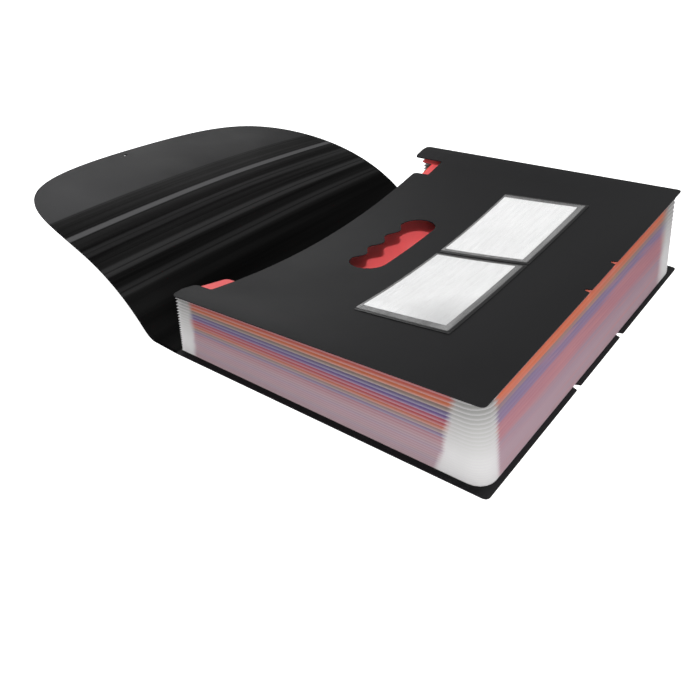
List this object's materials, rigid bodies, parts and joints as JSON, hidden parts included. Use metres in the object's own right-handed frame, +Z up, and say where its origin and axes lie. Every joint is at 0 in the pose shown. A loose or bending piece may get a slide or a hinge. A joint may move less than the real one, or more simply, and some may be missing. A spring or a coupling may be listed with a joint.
{
  "type": "expanding file",
  "caption": "Soft plastic expanding file lying on its back cover, its flap thrown open, with pleated film sides, coloured pocket dividers, a carrying slot and two label pockets.",
  "frame": {"origin": "middle of the back cover's underside", "axes": "+X from the open mouth to the folded bottom, +Y to the right side seen from the bottom, +Z up from the back cover to the front cover"},
  "size_m": [0.4545, 0.337, 0.0684],
  "materials": {
    "cover": "satin charcoal polypropylene sheet",
    "gusset": "thin frosted film",
    "red": "translucent sheet",
    "orange": "translucent sheet",
    "green": "translucent sheet",
    "blue": "translucent sheet",
    "pink": "translucent sheet",
    "clear_film": "clear glossy film",
    "card": "plain white card"
  },
  "bodies": {
    "file": {"back_cover": "cover", "front_cover": "cover", "gusset": "gusset", "divider_01": "red", "divider_02": "orange", "divider_03": "green", "divider_04": "blue", "divider_05": "pink", "divider_06": "red", "divider_07": "orange", "divider_08": "green", "divider_09": "blue", "divider_10": "pink", "divider_11": "red", "divider_12": "orange", "divider_13": "green", "divider_14": "blue", "divider_15": "pink", "divider_16": "red", "divider_17": "orange", "divider_18": "green", "divider_19": "blue", "divider_20": "pink", "divider_21": "red", "divider_22": "orange", "divider_23": "green", "label_pocket_left": "clear_film", "label_pocket_right": "clear_film", "label_card_left": "card", "label_card_right": "card"},
    "flap": {"flap": "cover"}
  },
  "joints": [
    {"name": "flap_hinge", "type": "hinge", "parent": "file", "child": "flap", "pos_m": [-0.1223, 0, 0.0004], "axis": [0, 1, 0], "range_deg": [0, 60]}
  ]
}
